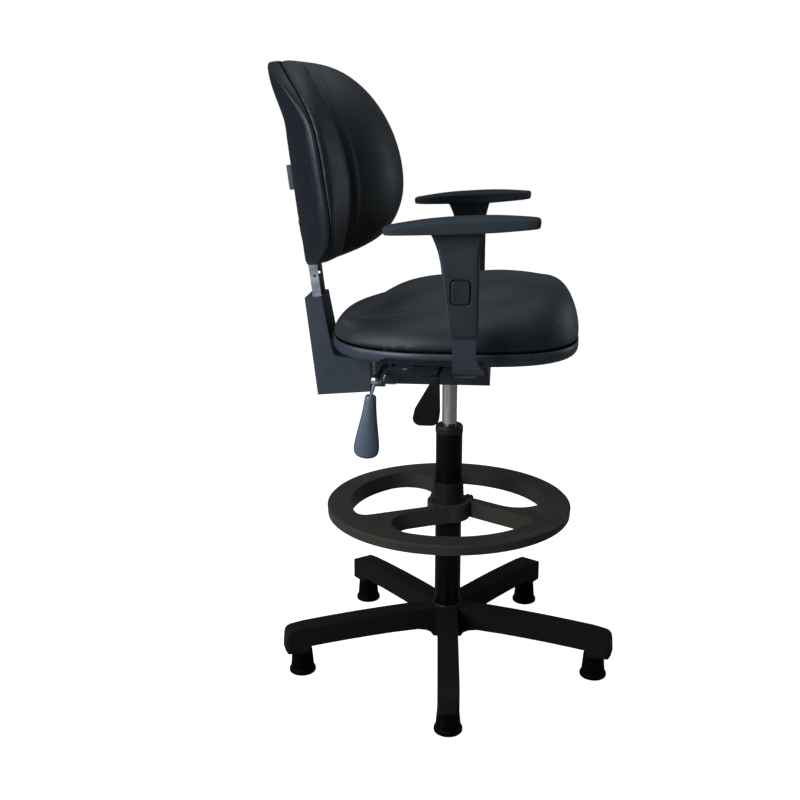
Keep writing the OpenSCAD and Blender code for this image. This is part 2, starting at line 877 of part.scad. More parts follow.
// Rounded tall button outline grown by g, between two depths
module button_shape(g, y0, y1) {
    r = 6;
    translate([0, y1, 0]) rotate([90, 0, 0]) linear_extrude(y1 - y0) {
        translate([button_box[0] - g, button_box[1] + r]) square([button_box[2] + 2 * g, button_box[3] - 2 * r]);
        translate([button_box[0] + r, button_box[1] - g]) square([button_box[2] - 2 * r, button_box[3] + 2 * g]);
        for (x = [r, button_box[2] - r], z = [r, button_box[3] - r]) {
            translate([button_box[0] + x, button_box[1] + z]) circle(r = r + g);
        }
    }
}

module arm_button(side) {
    face = stem_y + sleeve_half;
    color("#202226") handed(side) button_shape(0, face - 5.5, face + 3);
}

module pad_screw_set() {
    for (x = [0, 46]) translate([x, stem_y, 838]) cylinder(h = 26, r = 2.2);
    for (x = [0, 46]) translate([x, stem_y, 800]) cylinder(h = 38, r = 4.2);
}

module pad_screws(side) {
    color(steel) handed(side) for (x = [0, 46]) {
        translate([x, stem_y, 838]) cylinder(h = 26, r = 2.2);
        translate([x, stem_y, 835.5]) cylinder(h = 2.5, r = 4);
    }
}

module arm_pad(side) {
    low = 852;
    shape = [
        [-pad_l / 2, low], [pad_l * 0.13, low + 4], [pad_l / 2, low + 12], [pad_l / 2, low + 22],
        [pad_l * 0.42, low + 27], [pad_l * 0.25, low + 31], [0, low + 29],
        [-pad_l * 0.3, low + 23], [-pad_l / 2, low + 15]
    ];
    color(plastic_blue) handed(side) difference() {
        intersection() {
            translate([pad_x, 0, 0]) side_plate(shape, stem_y - 60, stem_y + 80);
            translate([pad_x, stem_y + 7, 0]) linear_extrude(1000) {
                polygon(superellipse(pad_l / 2, pad_w / 2, 9, 3.2, 0, 64));
            }
        }
        for (x = [0, 46]) translate([x, stem_y, 838]) cylinder(h = 26, r = 2.2);
    }
}

for (i = [0:4]) glide(i);
for (s = [1, -1]) {
    hand = s > 0 ? "left" : "right";
    arm_bracket(s);
    arm_sleeve(s);
    arm_pad(s);
    pad_screws(s);
    arm_button(s);
}
star_base();
glide_pins();
hub_sleeve();
column_tube();
column_guide();
thrust_bearing();
piston_rod();
retaining_clip();
piston_head();
foot_ring();
ring_collar();
ring_knob();
gas_cylinder();
cylinder_gland();
release_pin();
mechanism_tray();
cone_socket();
tilt_cheeks();
rear_spacer();
seat_pan();
seat_board();
seat_cushion();
seat_bolts();
tee_nuts();
lever_bracket();
height_lever();
lever_paddle();
tilt_bolt();
tilt_lever();
tilt_handle();
tilt_arm();
pivot_shaft();
upright_channel();
back_cover();
cover_screws();
back_shell();
back_board();
back_cushion();
ratchet_housing();
ratchet_cap();
back_screws();
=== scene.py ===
"""Drafting chair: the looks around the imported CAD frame.

Everything is in metres in the row frame: +X is the front of the chair, +Y the sitter's left, +Z up.
"""
import json
import math

import bmesh
import bpy
import numpy as np
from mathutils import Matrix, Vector


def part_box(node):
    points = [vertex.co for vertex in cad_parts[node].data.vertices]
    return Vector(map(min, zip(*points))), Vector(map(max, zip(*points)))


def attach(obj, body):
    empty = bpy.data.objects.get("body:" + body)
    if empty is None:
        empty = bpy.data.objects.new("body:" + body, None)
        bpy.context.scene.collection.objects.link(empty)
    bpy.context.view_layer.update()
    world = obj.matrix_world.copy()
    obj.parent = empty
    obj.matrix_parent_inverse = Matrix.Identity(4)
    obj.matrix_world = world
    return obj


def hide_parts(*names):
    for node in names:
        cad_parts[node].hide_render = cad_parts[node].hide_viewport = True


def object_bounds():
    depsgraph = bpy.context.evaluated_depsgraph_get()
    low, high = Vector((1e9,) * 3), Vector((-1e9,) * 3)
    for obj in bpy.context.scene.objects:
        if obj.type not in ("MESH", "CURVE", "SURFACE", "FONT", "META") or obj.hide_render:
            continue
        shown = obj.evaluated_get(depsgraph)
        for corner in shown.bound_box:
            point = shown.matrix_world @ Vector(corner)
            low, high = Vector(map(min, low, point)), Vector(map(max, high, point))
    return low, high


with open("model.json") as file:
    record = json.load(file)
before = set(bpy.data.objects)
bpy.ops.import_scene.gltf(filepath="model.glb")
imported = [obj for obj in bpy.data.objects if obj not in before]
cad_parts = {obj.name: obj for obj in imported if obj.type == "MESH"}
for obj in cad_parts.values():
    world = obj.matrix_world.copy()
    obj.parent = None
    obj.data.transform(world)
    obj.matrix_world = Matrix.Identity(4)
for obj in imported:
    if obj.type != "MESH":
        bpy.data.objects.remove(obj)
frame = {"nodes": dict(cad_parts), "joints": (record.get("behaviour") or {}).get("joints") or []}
CAD_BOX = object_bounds()

MM = 0.001
JOINTS = {joint["name"]: joint for joint in frame["joints"]}
SIDES = {"left": 1, "right": -1}

# Studio brightness against direction, from straight down (0) to straight up (1)
STUDIO_TINT = (0.90, 0.99, 1.09)
STUDIO_STOPS = ((0.0, 0.05), (0.46, 0.05), (0.55, 0.07), (0.75, 0.13), (0.9, 0.30))
# Name, place, aim, size and power of each light
SOFT_BOXES = (
    ("top_box", (-0.1, 0.1, 2.7), (0, 0, 0.6), (2.0, 1.6), 10),
    ("key_box", (-1.5, -2.1, 1.6), (-0.1, -0.1, 0.8), (1.1, 1.3), 58),
    ("rear_box", (-2.3, -0.65, 1.35), (-0.2, 0, 0.9), (0.45, 1.7), 20),
    ("far_box", (1.9, 1.0, 1.15), (-0.1, -0.1, 0.9), (0.8, 1.3), 6),
)


# ---------- Camera, light and floor ----------

def make_camera():
    """The photograph's viewpoint: from the chair's right, a little in front and above the seat."""
    data = bpy.data.cameras.new("camera")
    data.lens = 48.55
    data.sensor_width = 36
    data.shift_x, data.shift_y = -0.00125, -0.0025
    camera = bpy.data.objects.new("camera", data)
    camera.location = (0.0877, -1.9480, 1.0247)
    forward = Vector((-0.08850, 0.96362, -0.25219))
    camera.rotation_euler = forward.to_track_quat("-Z", "Y").to_euler()
    bpy.context.scene.collection.objects.link(camera)
    bpy.context.scene.camera = camera


def soft_box(name, place, aim, size, power):
    """A rectangular area light at place, facing aim."""
    data = bpy.data.lights.new(name, "AREA")
    data.shape = "RECTANGLE"
    data.size, data.size_y = size
    data.energy = power
    data.color = STUDIO_TINT
    light = bpy.data.objects.new(name, data)
    light.location = place
    direction = Vector(aim) - Vector(place)
    light.rotation_euler = direction.to_track_quat("-Z", "Y").to_euler()
    light.visible_camera = False
    bpy.context.scene.collection.objects.link(light)


def seen_by_camera(nodes, links, plain, other):
    """A shader that is plain to camera rays and other to all the rest."""
    path = nodes.new("ShaderNodeLightPath")
    mix = nodes.new("ShaderNodeMixShader")
    links.new(path.outputs["Is Camera Ray"], mix.inputs[0])
    links.new(other, mix.inputs[1])
    links.new(plain, mix.inputs[2])
    return mix.outputs[0]


def make_world():
    """A dim studio, brighter overhead; the camera itself sees plain white behind the chair."""
    world = bpy.data.worlds.new("studio")
    bpy.context.scene.world = world
    world.use_nodes = True
    nodes, links = world.node_tree.nodes, world.node_tree.links
    coords = nodes.new("ShaderNodeTexCoord")
    split = nodes.new("ShaderNodeSeparateXYZ")
    ramp = nodes.new("ShaderNodeValToRGB")
    ramp.color_ramp.elements[0].color = (*STUDIO_TINT, 1)
    for position, value in STUDIO_STOPS:
        colour = tuple(value * tint for tint in STUDIO_TINT)
        ramp.color_ramp.elements.new(position).color = (*colour, 1)
    ramp.color_ramp.elements.remove(ramp.color_ramp.elements[0])
    ramp.color_ramp.elements.remove(ramp.color_ramp.elements[-1])
    rise = nodes.new("ShaderNodeMapRange")
    rise.inputs["From Min"].default_value = -1
    links.new(coords.outputs["Generated"], split.inputs[0])
    links.new(split.outputs["Z"], rise.inputs["Value"])
    links.new(rise.outputs["Result"], ramp.inputs[0])
    studio = nodes["Background"]
    links.new(ramp.outputs["Color"], studio.inputs["Color"])
    white = nodes.new("ShaderNodeBackground")
    result = seen_by_camera(nodes, links, white.outputs[0], studio.outputs[0])
    links.new(result, nodes["World Output"].inputs["Surface"])
    white.inputs["Color"].default_value = (1, 1, 1, 1)


def floor_material():
    """Pale paper that burns out to white for the camera and throws little light back up."""
    look = Look("floor_paper", (0.62, 0.62, 0.62), 0.9)
    look.shader.inputs["Emission Color"].default_value = (1, 1, 1, 1)
    look.shader.inputs["Emission Strength"].default_value = 0.93
    dull = look.nodes.new("ShaderNodeBsdfDiffuse")
    dull.inputs["Color"].default_value = (0.30, 0.295, 0.28, 1)
    output = look.nodes["Material Output"]
    result = seen_by_camera(look.nodes, look.links, look.shader.outputs[0], dull.outputs[0])
    look.links.new(result, output.inputs["Surface"])
    return look.material


def make_stage():
    """A round pale floor, the soft boxes and the studio round them."""
    mesh = bpy.data.meshes.new("floor")
    form = bmesh.new()
    bmesh.ops.create_circle(form, cap_ends=True, segments=96, radius=9)
    form.to_mesh(mesh)
    form.free()
    floor = bpy.data.objects.new("floor", mesh)
    floor.location.z = CAD_BOX[0].z
    bpy.context.scene.collection.objects.link(floor)
    floor.data.materials.append(floor_material())
    for name, place, aim, size, power in SOFT_BOXES:
        soft_box(name, place, aim, size, power)
    make_world()
    bpy.context.scene.view_settings.view_transform = "Standard"


# ---------- Materials ----------

class Look:
    """One procedural material: a Principled shader fed by noise in the piece's own coordinates."""

    def __init__(self, name, colour, rough, metal=0.0, **sockets):
        self.material = bpy.data.materials.new(name)
        self.material.use_nodes = True
        self.nodes = self.material.node_tree.nodes
        self.links = self.material.node_tree.links
        self.shader = self.nodes["Principled BSDF"]
        self.place = self.nodes.new("ShaderNodeTexCoord").outputs["Object"]
        self.colour = (*colour, 1)
        self.shader.inputs["Base Color"].default_value = self.colour
        self.shader.inputs["Roughness"].default_value = rough
        self.shader.inputs["Metallic"].default_value = metal
        self.rough = rough
        self.height = None
        for socket, value in sockets.items():
            self.shader.inputs[socket.replace("_", " ")].default_value = value

    def stretched(self, stretch):
        """The piece's coordinates, scaled on each axis."""
        node = self.nodes.new("ShaderNodeMapping")
        node.inputs["Scale"].default_value = stretch
        self.links.new(self.place, node.inputs["Vector"])
        return node.outputs[0]

    def noise(self, scale, detail=3.0, stretch=None, distortion=0.0):
        node = self.nodes.new("ShaderNodeTexNoise")
        node.inputs["Scale"].default_value = scale
        node.inputs["Detail"].default_value = detail
        node.inputs["Distortion"].default_value = distortion
        self.links.new(self.stretched(stretch) if stretch else self.place, node.inputs["Vector"])
        return node.outputs[0]

    def cells(self, scale, feature="DISTANCE_TO_EDGE"):
        node = self.nodes.new("ShaderNodeTexVoronoi")
        node.feature = feature
        node.inputs["Scale"].default_value = scale
        self.links.new(self.place, node.inputs["Vector"])
        return node.outputs["Distance"]

    def edges(self):
        """Bright on convex edges, from the mesh itself."""
        return self.nodes.new("ShaderNodeNewGeometry").outputs["Pointiness"]

    def ranged(self, value, from_low, from_high, low, high):
        node = self.nodes.new("ShaderNodeMapRange")
        for socket, number in zip(node.inputs[1:5], (from_low, from_high, low, high)):
            socket.default_value = number
        self.links.new(value, node.inputs[0])
        return node.outputs[0]

    def math(self, operation, a, b):
        node = self.nodes.new("ShaderNodeMath")
        node.operation = operation
        for socket, value in zip(node.inputs, (a, b)):
            if isinstance(value, (int, float)):
                socket.default_value = value
            else:
                self.links.new(value, socket)
        return node.outputs[0]

    def tint(self, factor, colour):
        """Mixes the base colour so far towards colour by factor."""
        node = self.nodes.new("ShaderNodeMix")
        node.data_type = "RGBA"
        self.links.new(factor, node.inputs[0])
        socket = self.shader.inputs["Base Color"]
        if socket.is_linked:
            self.links.new(socket.links[0].from_socket, node.inputs[6])
        else:
            node.inputs[6].default_value = self.colour
        node.inputs[7].default_value = (*colour, 1)
        self.links.new(node.outputs[2], socket)

    def roughen(self, value, spread):
        """Roughness that wanders by spread about its mean with value, which runs about 0.3 to 0.7."""
        result = self.ranged(value, 0.3, 0.7, self.rough - spread, self.rough + spread)
        self.links.new(result, self.shader.inputs["Roughness"])

    def emboss(self, value, depth):
        """Adds value times depth, in metres, to the bump."""
        node = self.nodes.new("ShaderNodeBump")
        node.inputs["Strength"].default_value = 1.0
        node.inputs["Distance"].default_value = depth
        self.links.new(value, node.inputs["Height"])
        if self.height is not None:
            self.links.new(self.height, node.inputs["Normal"])
        self.height = node.outputs[0]
        self.links.new(self.height, self.shader.inputs["Normal"])


def moulded(name, colour, rough, grain=900, depth=0.00005, wear=(0.05, 0.05, 0.05), **sockets):
    """Injection-moulded plastic: spark-eroded grain, faint flow clouds, edges rubbed lighter."""
    look = Look(name, colour, rough, **sockets)
    clouds = look.noise(9, 3)
    look.tint(look.ranged(clouds, 0.35, 0.7, 0, 0.5), tuple(c * 1.35 for c in colour))
    scuffs = look.noise(45, 6, stretch=(1, 1, 0.35), distortion=1.2)
    look.tint(look.ranged(scuffs, 0.62, 0.78, 0, 0.35), wear)
    look.tint(look.ranged(look.edges(), 0.52, 0.62, 0, 0.5), wear)
    look.roughen(look.noise(30, 5), 0.06)
    look.emboss(look.noise(grain, 2), depth)
    look.emboss(look.cells(grain * 0.6), depth * 0.6)
    return look.material


def vinyl(name, colour, rough):
    """Coated upholstery cloth: pebbled leather grain, soft creasing, a satin top coat and painted shade
    darkening its concave creases.
    """
    look = Look(name, colour, rough, Coat_Weight=0.06, Coat_Roughness=0.42, Sheen_Weight=0.03,
                Specular_IOR_Level=0.38)
    look.tint(look.ranged(look.noise(5, 3), 0.35, 0.7, 0, 0.6), tuple(c * 1.4 for c in colour))
    grain = look.cells(420)
    look.tint(look.ranged(grain, 0.0, 0.12, 0.45, 0), tuple(c * 0.45 for c in colour))
    look.tint(look.ranged(look.edges(), 0.53, 0.60, 0, 0.3), tuple(c * 2.6 for c in colour))
    # Painted shade: concave creases and hollows are darkened, standing in for the shade in the cushions'
    # crease valleys.
    look.tint(look.ranged(look.edges(), 0.40, 0.48, 0.9, 0), tuple(c * 0.2 for c in colour))
    look.roughen(look.noise(22, 4), 0.05)
    look.emboss(look.noise(14, 4, distortion=0.6), 0.0009)
    look.emboss(look.ranged(grain, 0.0, 0.35, 0, 1), 0.00010)
    look.emboss(look.noise(1500, 2), 0.00003)
    return look.material


def plated(name, colour, rough, streak=(1, 1, 1)):
    """Bright plated steel: draw marks along one axis, faint haze and spots."""
    look = Look(name, colour, rough, metal=1.0)
    look.tint(look.ranged(look.noise(25, 5), 0.55, 0.75, 0, 0.5), tuple(c * 0.6 for c in colour))
    look.roughen(look.noise(160, 4, stretch=streak), rough * 0.35)
    look.emboss(look.noise(500, 2, stretch=streak), 0.00001)
    return look.material


def raw_steel(name, colour, rough):
    """Zinc-plated or plain steel: mottled, a little dull, rubbed bright on its edges."""
    look = Look(name, colour, rough, metal=0.9)
    look.tint(look.ranged(look.cells(60, "F1"), 0.2, 0.8, 0, 0.5), tuple(c * 0.7 for c in colour))
    look.tint(look.ranged(look.edges(), 0.52, 0.60, 0, 0.6), tuple(min(1, c * 1.6) for c in colour))
    look.roughen(look.noise(40, 5), 0.10)
    look.emboss(look.noise(350, 3), 0.00003)
    return look.material


def painted(name, colour, rough, wear=(0.06, 0.06, 0.06), coat=0.15, **sockets):
    """Black paint on steel: fine orange peel, worn to grey along edges."""
    look = Look(name, colour, rough, Coat_Weight=coat, Coat_Roughness=0.25, **sockets)
    look.tint(look.ranged(look.noise(12, 4), 0.4, 0.7, 0, 0.3), tuple(c * 1.3 for c in colour))
    chips = look.math("MULTIPLY", look.ranged(look.edges(), 0.54, 0.62, 0, 0.35),
                      look.ranged(look.noise(140, 5), 0.5, 0.65, 0, 1))
    look.tint(chips, wear)
    look.roughen(look.noise(35, 4), 0.07)
    look.emboss(look.noise(260, 2), 0.00006)
    return look.material


def plywood(name):
    """Birch plywood: plies show as bands across the thickness, with a fine long grain."""
    look = Look(name, (0.55, 0.38, 0.20), 0.6)
    look.tint(look.ranged(look.noise(28, 6, stretch=(1, 8, 1)), 0.4, 0.65, 0, 0.7), (0.34, 0.21, 0.10))
    bands = look.nodes.new("ShaderNodeTexWave")
    bands.bands_direction = "Z"
    bands.inputs["Scale"].default_value = 160
    look.links.new(look.place, bands.inputs["Vector"])
    look.tint(look.ranged(bands.outputs["Fac"], 0.4, 0.6, 0, 0.45), (0.25, 0.15, 0.07))
    look.emboss(look.noise(90, 5, stretch=(1, 10, 1)), 0.00008)
    return look.material


# How much less than plain plastic a material mirrors, and the worn edges of the darkest mouldings
DULL = {"Specular_IOR_Level": 0.25}
FLAT = {"Specular_IOR_Level": 0.10}
MATT = {"Specular_IOR_Level": 0.03}
DARK_WEAR = (0.016, 0.015, 0.013)


def make_looks():
    """Every material, by the record's slot name."""
    return {
        "base_plastic": moulded("base_plastic", (0.0044, 0.0040, 0.0030), 0.48, wear=DARK_WEAR, **MATT),
        "glide_plastic": moulded("glide_plastic", (0.0014, 0.0013, 0.0010), 0.5, wear=DARK_WEAR, **MATT),
        "ring_plastic": moulded("ring_plastic", (0.034, 0.030, 0.024), 0.44, **FLAT),
        "guide_plastic": moulded("guide_plastic", (0.010, 0.010, 0.009), 0.45, **DULL),
        # Painted shade: the back shell's plastic is a darker copy of the seat pan's, for the shade on the
        # shell's rear.
        "shell_plastic": moulded("shell_plastic", (0.006, 0.008, 0.012), 0.36, grain=700, **DULL),
        "cover_plastic": moulded("cover_plastic", (0.020, 0.028, 0.039), 0.42, grain=700),
        "sleeve_plastic": moulded("sleeve_plastic", (0.012, 0.015, 0.019), 0.46),
        "button_plastic": moulded("button_plastic", (0.008, 0.010, 0.012), 0.40),
        "paddle_plastic": moulded("paddle_plastic", (0.003, 0.003, 0.0035), 0.42, **FLAT),
        "handle_plastic": moulded("handle_plastic", (0.075, 0.095, 0.122), 0.36),
        "pad_urethane": moulded("pad_urethane", (0.027, 0.033, 0.038), 0.56,
                                grain=500, depth=0.00009, **FLAT),
        # Painted shade: back_vinyl is a darker copy of the seat's vinyl, for the shade on the backrest's
        # face.
        "seat_vinyl": vinyl("seat_vinyl", (0.0085, 0.0112, 0.0135), 0.52),
        "back_vinyl": vinyl("back_vinyl", (0.0045, 0.0066, 0.0080), 0.50),
        "plywood": plywood("plywood"),
        "chrome": plated("chrome", (0.62, 0.61, 0.60), 0.12, streak=(1, 1, 0.05)),
        "zinc_steel": raw_steel("zinc_steel", (0.52, 0.54, 0.57), 0.30),
        "bearing_steel": raw_steel("bearing_steel", (0.60, 0.60, 0.62), 0.22),
        "black_steel": painted("black_steel", (0.016, 0.016, 0.015), 0.45),
        "column_paint": painted("column_paint", (0.0018, 0.0017, 0.0014), 0.30, coat=0.05, **FLAT),
        "collar_paint": moulded("collar_paint", (0.0075, 0.0072, 0.0062), 0.36, **DULL),
        "mechanism_paint": painted("mechanism_paint", (0.013, 0.018, 0.025), 0.40),
        "bracket_paint": painted("bracket_paint", (0.022, 0.029, 0.038), 0.42),
    }


# ---------- Mesh helpers ----------

def add_piece(name, mesh, slot, body, *stands_for):
    """Links a finished mesh as a piece that wears a slot's material and rides on a body."""
    piece = bpy.data.objects.new(name, mesh)
    bpy.context.scene.collection.objects.link(piece)
    mesh.materials.clear()
    mesh.materials.append(LOOKS[slot])
    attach(piece, body)
    if stands_for:
        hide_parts(*stands_for)
    return piece


def skin(name, rings):
    """A closed mesh through rings of points that all have the same count."""
    rings = [np.asarray(ring, float) for ring in rings]
    count = len(rings[0])
    faces = []
    for k in range(len(rings) - 1):
        a, b = k * count, (k + 1) * count
        for i in range(count):
            j = (i + 1) % count
            faces.append((a + i, a + j, b + j, b + i))
    faces.append(tuple(reversed(range(count))))
    last = (len(rings) - 1) * count
    faces.append(tuple(last + i for i in range(count)))
    mesh = bpy.data.meshes.new(name)
    mesh.from_pydata(np.concatenate(rings).tolist(), [], faces)
    form = bmesh.new()
    form.from_mesh(mesh)
    bmesh.ops.recalc_face_normals(form, faces=form.faces)
    form.to_mesh(mesh)
    form.free()
    mesh.shade_smooth()
    return mesh


def superellipse(steps, a, b, power, rear_power=None, taper=0.0):
    """Unit-angle samples of an outline, as an array of (u, v); v below zero uses rear_power."""
    t = 2 * math.pi * np.arange(steps) / steps
    c, s = np.cos(t), np.sin(t)
    n = np.where(s < 0, rear_power or power, power)
    v = np.sign(s) * np.abs(s) ** (2 / n)
    u = np.sign(c) * np.abs(c) ** (2 / n) * (1 - taper * v)
    return np.stack([a * u, b * v], 1)


def baked(piece):
    """The piece's mesh with its modifiers applied, as a new mesh."""
    graph = bpy.context.evaluated_depsgraph_get()
    graph.update()
    return bpy.data.meshes.new_from_object(piece.evaluated_get(graph))


def apply_modifiers(piece):
    mesh = baked(piece)
    piece.modifiers.clear()
    old = piece.data
    piece.data = mesh
    bpy.data.meshes.remove(old)
    return piece


def points_of(mesh):
    co = np.zeros(len(mesh.vertices) * 3)
    mesh.vertices.foreach_get("co", co)
    return co.reshape(-1, 3)


def set_points(mesh, points):
    mesh.vertices.foreach_set("co", np.asarray(points, float).ravel())
    mesh.update()


def smooth_step(low, high, value):
    t = np.clip((value - low) / (high - low), 0, 1)
    return t * t * (3 - 2 * t)


def soften(node, slot, width=1.5 * MM, segments=3, angle=28):
    """Gives a CAD node its material and rounds its sharp edges."""
    piece = frame["nodes"][node]
    piece.data.materials.clear()
    piece.data.materials.append(LOOKS[slot])
    weld = piece.modifiers.new("weld", "WELD")
    weld.merge_threshold = 0.01 * MM
    if width:
        flat = piece.modifiers.new("flat", "DECIMATE")
        flat.decimate_type = "DISSOLVE"
        flat.angle_limit = math.radians(0.4)
        bevel = piece.modifiers.new("bevel", "BEVEL")
        bevel.width = width
        bevel.segments = segments
        bevel.limit_method = "ANGLE"
        bevel.angle_limit = math.radians(angle)
    normals = piece.modifiers.new("normals", "WEIGHTED_NORMAL")
    normals.weight = 60
    return piece


def puffed(piece, held, pressure, limit, voxel=5 * MM, frames=20):
    """Blows the closed piece up as cloth under pressure, held (0 to 1 per point) along its seams."""
    remesh = piece.modifiers.new("remesh", "REMESH")
    remesh.mode = "VOXEL"
    remesh.voxel_size = voxel
    apply_modifiers(piece)
    start = points_of(piece.data)
    group = piece.vertex_groups.new(name="held")
    for index, weight in enumerate(held(start)):
        if weight > 0.01:
            group.add([index], float(weight), "REPLACE")
    cloth = piece.modifiers.new("cloth", "CLOTH")
    settings = cloth.settings
    settings.quality = 5
    settings.use_pressure = True
    settings.uniform_pressure_force = pressure
    settings.vertex_group_mass = "held"
    settings.effector_weights.gravity = 0
    cloth.point_cache.frame_start = 1
    cloth.point_cache.frame_end = frames
    for number in range(1, frames + 1):
        bpy.context.scene.frame_set(number)
    apply_modifiers(piece)
    moved = points_of(piece.data) - start
    length = np.linalg.norm(moved, axis=1, keepdims=True)
    moved *= np.minimum(1, limit / np.maximum(length, 1e-9))
    set_points(piece.data, start + moved)
    piece.vertex_groups.clear()
    bpy.context.scene.frame_set(1)
    piece.data.shade_smooth()
    return piece


def refined(piece, levels=1):
    """Smooths a voxel mesh a little and subdivides it."""
    relax = piece.modifiers.new("relax", "SMOOTH")
    relax.factor = 0.5
    relax.iterations = 6
    more = piece.modifiers.new("more", "SUBSURF")
    more.levels = more.render_levels = levels
    apply_modifiers(piece)
    piece.data.shade_smooth()
    return piece


def sink(piece, amount):
    """Moves every point of the piece inwards along its normal by amount, an array in metres."""
    mesh = piece.data
    normals = np.zeros(len(mesh.vertices) * 3)
    mesh.vertices.foreach_get("normal", normals)
    set_points(mesh, points_of(mesh) - normals.reshape(-1, 3) * amount[:, None])


# ---------- Seat ----------

SEAT_LOW, SEAT_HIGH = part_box("seat_pan")
SEAT_MID = (SEAT_LOW + SEAT_HIGH) / 2
SEAT_HALF_X = (SEAT_HIGH.x - SEAT_LOW.x) / 2
SEAT_HALF_Y = (SEAT_HIGH.y - SEAT_LOW.y) / 2
SEAM_Z = SEAT_HIGH.z
CROWN_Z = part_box("seat_cushion")[1].z
SEAT_STEPS = 180


def seat_outline():
    """Outline of the seat from above about its middle: blunter in front than at the rear."""
    line = superellipse(SEAT_STEPS, SEAT_HALF_Y, SEAT_HALF_X, 2.7, 3.1)
    return np.stack([-line[:, 1], line[:, 0]], 1)


def seat_ring(line, share, height):
    """A ring of the seat at share of the outline, with one height or a height for each point."""
    ring = np.zeros((len(line), 3))
    ring[:, 0] = SEAT_MID.x + line[:, 0] * share
    ring[:, 1] = SEAT_MID.y + line[:, 1] * share
    ring[:, 2] = height
    return ring


def seat_groove(line):
    """The groove between centre panel and border: share of the outline, height, panel's power."""
    along = line[:, 0] / SEAT_HALF_X
    front, rear = np.maximum(along, 0) ** 2, np.maximum(-along, 0) ** 2
    share = 0.575 + 0.19 * front + 0.25 * rear
    height = SEAM_Z + (62 + 30 * front - 26 * rear) * MM
    power = 2.6 + 1.0 * front + 7 * rear
    return share, height, power


def crown_height(x):
    """Height of the cushion's middle line, highest near the front."""
    peak = SEAT_MID.x + 92 * MM
    fall = np.where(x < peak, 0.72, 0.55)
    rear = np.maximum(-80 * MM - x, 0)
    return CROWN_Z - fall * (x - peak) ** 2 - 3.0 * rear ** 2


def make_seat_cushion():
    """Crowned centre panel, lower border round it, seam along the pan."""
    line = seat_outline()
    share, height, power = seat_groove(line)
    rings = []
    for r in np.linspace(0.04, 1, 18):
        ring = seat_ring(line, share * r, 0)
        crown = crown_height(ring[:, 0])
        ring[:, 2] = height + np.maximum(crown - height, 0) * (1 - r ** power)
        rings.append(ring)
    for angle in np.radians(np.arange(8, 89, 8)):
        out = share + (1 - share) * math.sin(angle)
        rings.append(seat_ring(line, out, SEAM_Z + (height - SEAM_Z) * math.cos(angle) ** 0.9))
    rings.append(seat_ring(line, 1.0, SEAM_Z + 5 * MM))
    rings.append(seat_ring(line, 0.985, SEAM_Z + 0.8 * MM))
    rings.append(seat_ring(line, 0.90, SEAM_Z + 0.8 * MM))
    mesh = skin("seat_cushion_cover", rings)
    piece = add_piece("seat_cushion_cover", mesh, "seat_vinyl", "seat", "seat_cushion")

    def groove_gap(points):
        """Signed distance outwards from the groove, as a share of the outline."""
        x, y = points[:, 0] - SEAT_MID.x, points[:, 1] - SEAT_MID.y
        angle = np.arctan2(y / SEAT_HALF_Y, x / SEAT_HALF_X)
        radius = np.hypot(y / SEAT_HALF_Y, x / SEAT_HALF_X)
        ring_angle = np.arctan2(line[:, 1] / SEAT_HALF_Y, line[:, 0] / SEAT_HALF_X)
        ring_radius = np.hypot(line[:, 1] / SEAT_HALF_Y, line[:, 0] / SEAT_HALF_X) * share
        order = np.argsort(ring_angle)
        return radius - np.interp(angle, ring_angle[order], ring_radius[order], period=2 * math.pi)

    def held(points):
        low = points[:, 2] < SEAM_Z + 6 * MM
        near = np.exp(-(groove_gap(points) / 0.035) ** 2) * (points[:, 2] > SEAM_Z + 20 * MM)
        return np.where(low, 1.0, 0.75 * near)

    puffed(piece, held, pressure=4, limit=10 * MM)
    refined(piece)
    points = points_of(piece.data)
    depth = np.exp(-(groove_gap(points) / 0.03) ** 2) * (points[:, 2] > SEAM_Z + 15 * MM)
    along = (points[:, 0] - SEAT_MID.x) / SEAT_HALF_X
    sink(piece, depth * 2.5 * MM * (1 - smooth_step(0.2, 0.8, along)))


# Where the pan's flare turns upright, and its height over the arm brackets
PAN_RIM_Z = 628 * MM
ARCH_Z = 639 * MM


def make_seat_pan():
    """Moulded tray under the cushion: flat floor, flare, upright rim, steps over the arm brackets."""
    line = seat_outline()
    low, wall = SEAT_LOW.z, 3 * MM
    outer, inner = [], []
    for share in (0.05, 0.2, 0.35, 0.48, 0.56, 0.62):
        outer.append((share, low))
        inner.append((share, low + wall))
    for share in np.arange(0.64, 0.961, 0.02):
        rise = (PAN_RIM_Z - low) * (share - 0.62) / 0.34
        outer.append((share, low + rise))
        inner.append((share - 0.01, low + wall + rise))
    for angle in np.radians(np.arange(15, 91, 15)):
        outer.append((0.962 + 0.038 * math.sin(angle), PAN_RIM_Z + 9 * MM * (1 - math.cos(angle))))
    outer += [(1.0, 643 * MM), (1.0, SEAM_Z - 1.5 * MM), (0.996, SEAM_Z - 0.3 * MM)]
    inner += [(0.986, SEAM_Z - 0.3 * MM)]
    rings = [seat_ring(line, share, z) for share, z in outer + inner[::-1]]
    half = len(outer)
    for k, ring in enumerate(rings):
        roof = ARCH_Z + (0 if k < half else wall)
        inside = smooth_step(-104 * MM, -100 * MM, ring[:, 0])
        inside *= 1 - smooth_step(62 * MM, 66 * MM, ring[:, 0])
        inside *= smooth_step(200 * MM, 208 * MM, np.abs(ring[:, 1]))
        ring[:, 2] = np.maximum(ring[:, 2], ring[:, 2] + inside * (roof - ring[:, 2]))
    # Painted light: the pan is the same plastic as the back shell but wears the lighter cover colour, for
    # the light on its front face.
    add_piece("seat_pan_shell", skin("seat_pan_shell", rings), "cover_plastic", "seat", "seat_pan")


# ---------- Backrest, in its own leaning frame ----------

